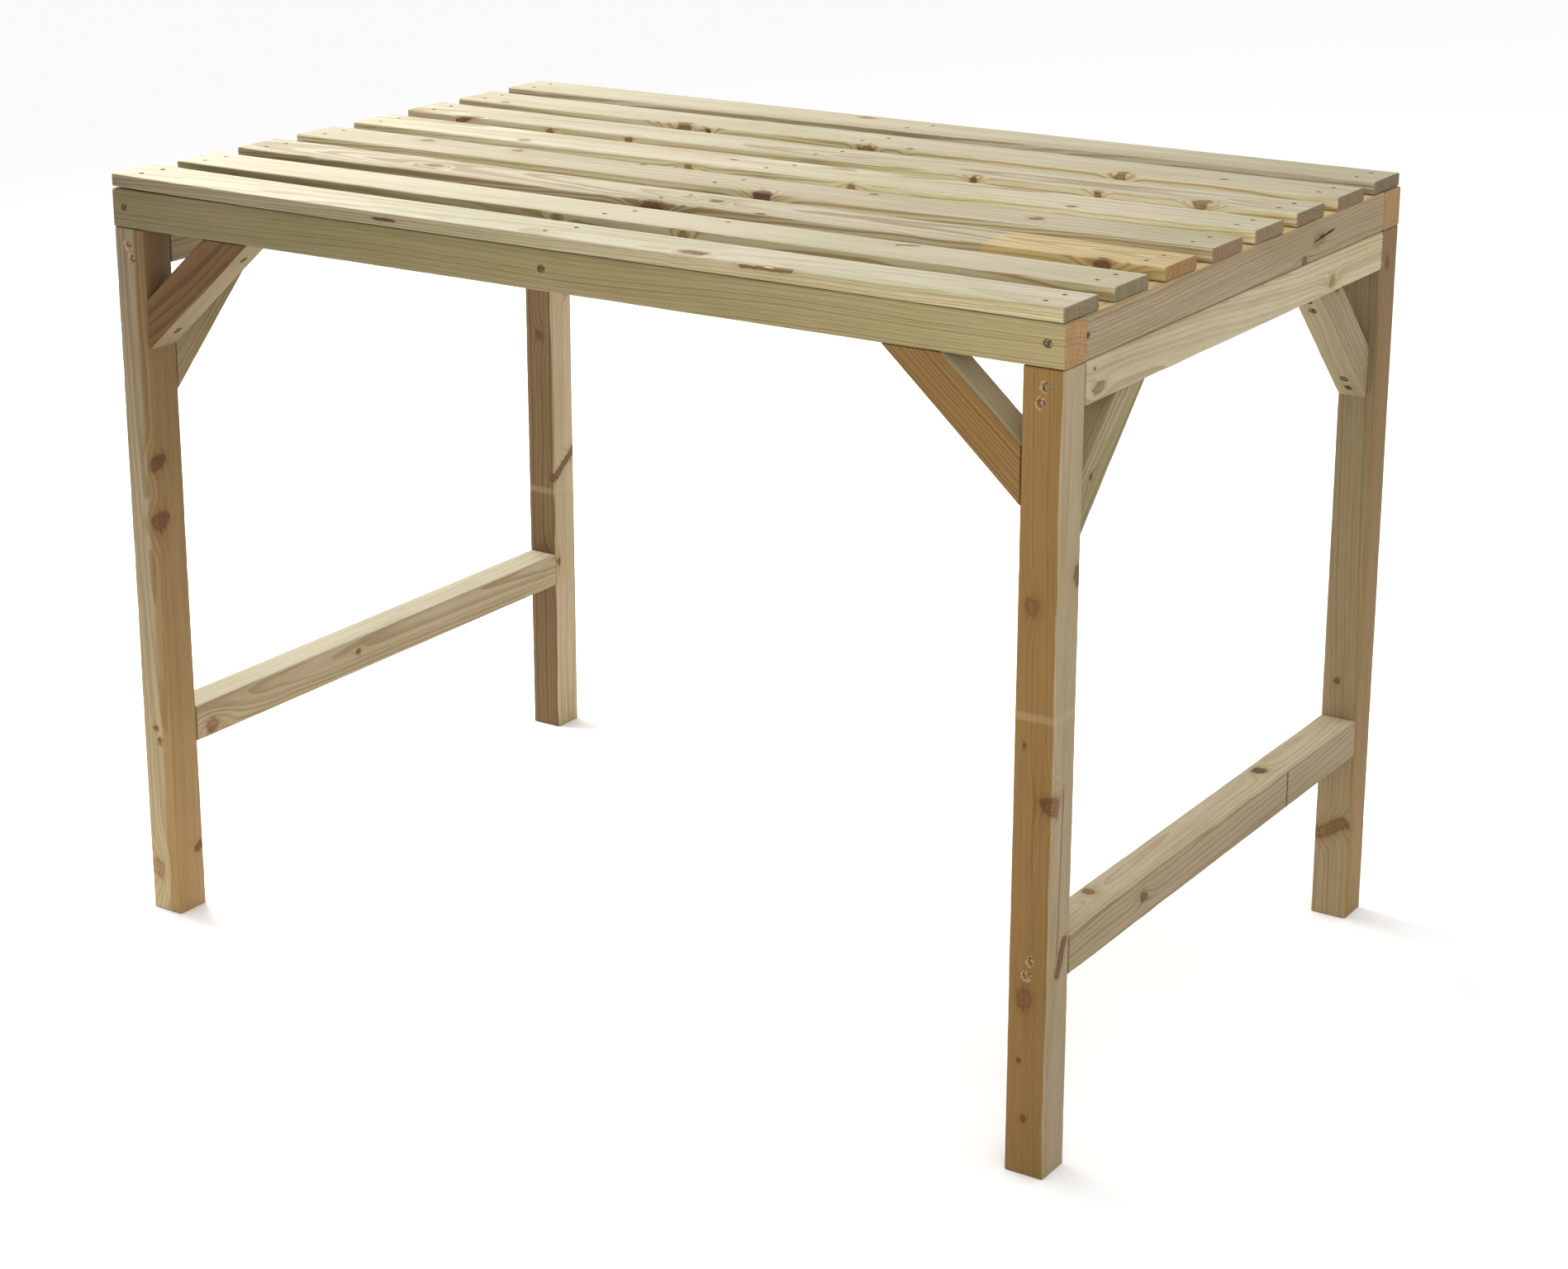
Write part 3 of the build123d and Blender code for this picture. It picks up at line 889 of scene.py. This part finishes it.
# Radius, depth below the surface and raggedness of the hole over each kind of head
HOLES = {
    "leg_screws": (5.8, 2.9, 0.22),
    "beam_screws": (4.7, 2.9, 0.07),
    "rail_screws": (4.8, 2.9, 0.10),
    "brace_screws": (5.1, 2.4, 0.14),
    "slat_nails": (2.7, 1.2, 0.12),
}
# A head belongs to a face when it stands out of it or lies under it by less than these
HEAD_PROUD, HEAD_DEEP = 1.0, 2.5
RAIL_FIBRES = 14
SPLINTER_SEED = 5
SHARP_FROM = 32  # degrees between two faces


def heads_in(piece, heads):
    """The fasteners whose heads lie at one of this piece's long faces: (kind, head, outward)."""
    length, width, height = piece.size
    found = []
    for kind, head, outward in heads:
        x, y, z = piece.local(head)
        from_end = length / 2 - piece.slopes[x > 0] * (z + height / 2) - abs(x)
        from_face = min(width / 2 - abs(y), height / 2 - abs(z))
        across_grain = abs((piece.turn.transposed() @ outward).x) < 0.5
        if across_grain and from_end > 0 and -HEAD_PROUD < from_face < HEAD_DEEP:
            found.append((kind, head, outward))
    return found


def cut_holes(thing, piece, found, material, rng):
    """Opens the wood over each fastener's head."""
    grain = piece.turn.col[0]
    shape = ([], [])
    for kind, head, outward in found:
        radius, depth, ragged = HOLES[kind]
        if kind == "slat_nails":
            depth += LIFTED.get(piece.name, 0.0)
        crater(*shape, head, SUNK[kind], outward, grain, (radius, depth, ragged), rng)
    cut(thing, mesh_object("cutter", shape, material))


def make_timber(torn, hole_shade, split):
    heads = [(kind, *place) for kind in HOLES for place in driven_at(kind)]
    for seed, (name, look) in enumerate(LOOKS.items(), start=1):
        rng = random.Random(seed)
        piece = brace_piece(name) if "brace" in name else straight_piece(name)
        is_slat = name.startswith("slat")
        trim = (rng.uniform(*SLAT_TRIM), rng.uniform(*SLAT_TRIM)) if is_slat else (0.0, 0.0)
        mesh = bar(piece, SLAT_ARRIS if is_slat else ARRIS, seed, trim, LIFTED.get(name, 0.0))
        thing = mesh_object(name + "_wood", mesh, pine_material(piece, look, seed))
        found = heads_in(piece, heads)
        if found:
            # Holes in the legs are lined with torn wood, and the others with painted shade.
            cut_holes(thing, piece, found, torn if name.startswith("leg") else hole_shade, rng)
        for *place, width, depth, fresh in GOUGES.get(name, ()):
            shape = ([], [])
            gouge(*shape, piece, *place, width, depth, rng)
            cut(thing, mesh_object("cutter", shape, split if fresh else hole_shade))
        thing.data.shade_smooth()
        thing.data.set_sharp_from_angle(angle=math.radians(SHARP_FROM))
        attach(thing, "root")
        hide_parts(name)


def make_splinters(torn):
    rng = random.Random(SPLINTER_SEED)
    shape = ([], [])
    for head, outward in driven_at("leg_screws"):
        mouth = head + outward * SUNK["leg_screws"] * MM
        for _ in range(rng.choice((1, 3, 4))):
            splinter(*shape, mouth, outward, Z, HOLES["leg_screws"][0], rng)
    add_torn(shape, "leg_screw_splinters", torn)
    # The saw left fibres standing at the back end of the right top rail
    shape = ([], [])
    low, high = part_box("top_rail_right")
    for _ in range(RAIL_FIBRES):
        height = rng.uniform(low.z + 2 * MM, high.z - 2 * MM)
        place = Vector((high.x - 0.1 * MM, high.y - 0.8 * MM, height))
        splinter(*shape, place, X, Y, rng.uniform(0.0, 1.2), rng)
    add_torn(shape, "rail_end_fibres", torn)


def add_torn(shape, name, torn):
    thing = mesh_object(name, shape, torn)
    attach(thing, "root")


def finish_metal():
    screw = plated_steel("yellow_zinc", (0.33, 0.23, 0.11), (0.055, 0.037, 0.018), 0.34)
    nail = plated_steel("dull_zinc", (0.13, 0.11, 0.09), (0.05, 0.04, 0.033), 0.45)
    for node in HOLES:
        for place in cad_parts[node].material_slots:
            place.material = nail if node == "slat_nails" else screw


# ---------------------------------------------------------------- camera, light and floor

# From the frame's low corner, in metres, and the camera's swing, downward tilt and roll in degrees
CAMERA_PLACE = (2.4958, -2.4759, 1.5363)
CAMERA_ANGLES = (33.837, 16.267, -0.174)
FLOOR_REACH = 14.0


def make_camera():
    """A three-quarter view from the front right, from above the worktop."""
    data = bpy.data.cameras.new("camera")
    camera = bpy.data.objects.new("camera", data)
    bpy.context.scene.collection.objects.link(camera)
    bpy.context.scene.camera = camera
    camera.location = cad_box[0] + Vector(CAMERA_PLACE)
    swing, down, roll = CAMERA_ANGLES
    turn = Matrix.Rotation(math.radians(swing), 3, "Z")
    turn = turn @ Matrix.Rotation(math.radians(90 - down), 3, "X")
    turn = turn @ Matrix.Rotation(math.radians(roll), 3, "Z")
    camera.rotation_euler = turn.to_euler()
    data.sensor_width = 36
    data.lens = 71.88
    data.shift_x = 0.0316
    data.shift_y = -0.100


def area_light(name, place, target, size, power, colour):
    data = bpy.data.lights.new(name, "AREA")
    data.shape = "RECTANGLE"
    data.size, data.size_y = size
    data.energy = power
    data.color = colour
    light = bpy.data.objects.new(name, data)
    bpy.context.scene.collection.objects.link(light)
    light.location = place
    light.rotation_euler = (Vector(place) - Vector(target)).to_track_quat("Z", "Y").to_euler()


def make_studio():
    world = bpy.data.worlds.new("studio")
    bpy.context.scene.world = world
    world.use_nodes = True
    background = world.node_tree.nodes["Background"]
    background.inputs["Color"].default_value = (1.0, 1.0, 1.0, 1)
    background.inputs["Strength"].default_value = 1.0
    bpy.context.scene.view_settings.view_transform = "Standard"
    area_light("key", (-2.0, 0.2, 2.6), (-0.1, 0, 0.7), (1.3, 1.3), 104, (1.0, 0.985, 0.95))
    area_light("sheen", (-3.0, 2.2, 1.7), (-0.4, -0.1, 0.88), (1.4, 1.0), 34, (1.0, 1.0, 1.0))
    area_light("fill", (1.7, -2.2, 1.3), (0.5, 0, 0.7), (1.2, 1.2), 14, (1.0, 0.99, 0.97))
    mesh = bpy.data.meshes.new("floor")
    sides = ((-1, -1), (1, -1), (1, 1), (-1, 1))
    corners = [(x * FLOOR_REACH, y * FLOOR_REACH, 0) for x, y in sides]
    mesh.from_pydata(corners, [], [(0, 1, 2, 3)])
    material, _, surface = new_material("floor")
    surface.inputs["Base Color"].default_value = (0.96, 0.96, 0.96, 1)
    surface.inputs["Roughness"].default_value = 0.9
    floor = mesh_object("floor", mesh, material)
    floor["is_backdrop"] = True


make_camera()
make_studio()
torn = torn_wood("torn_wood", (0.17, 0.09, 0.034), (0.68, 0.49, 0.26))
# Near-black wood that lines fastener holes and slits: painted shade.
hole_shade = torn_wood("hole_shade_wood", (0.045, 0.034, 0.018), (0.19, 0.15, 0.08))
split = torn_wood("split_wood", (0.36, 0.18, 0.07), (0.86, 0.68, 0.44))
make_timber(torn, hole_shade, split)
make_splinters(torn)
finish_metal()

boxes = {"cad": cad_box, "visual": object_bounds()}
{name: [list(corner) for corner in box] for name, box in boxes.items()}
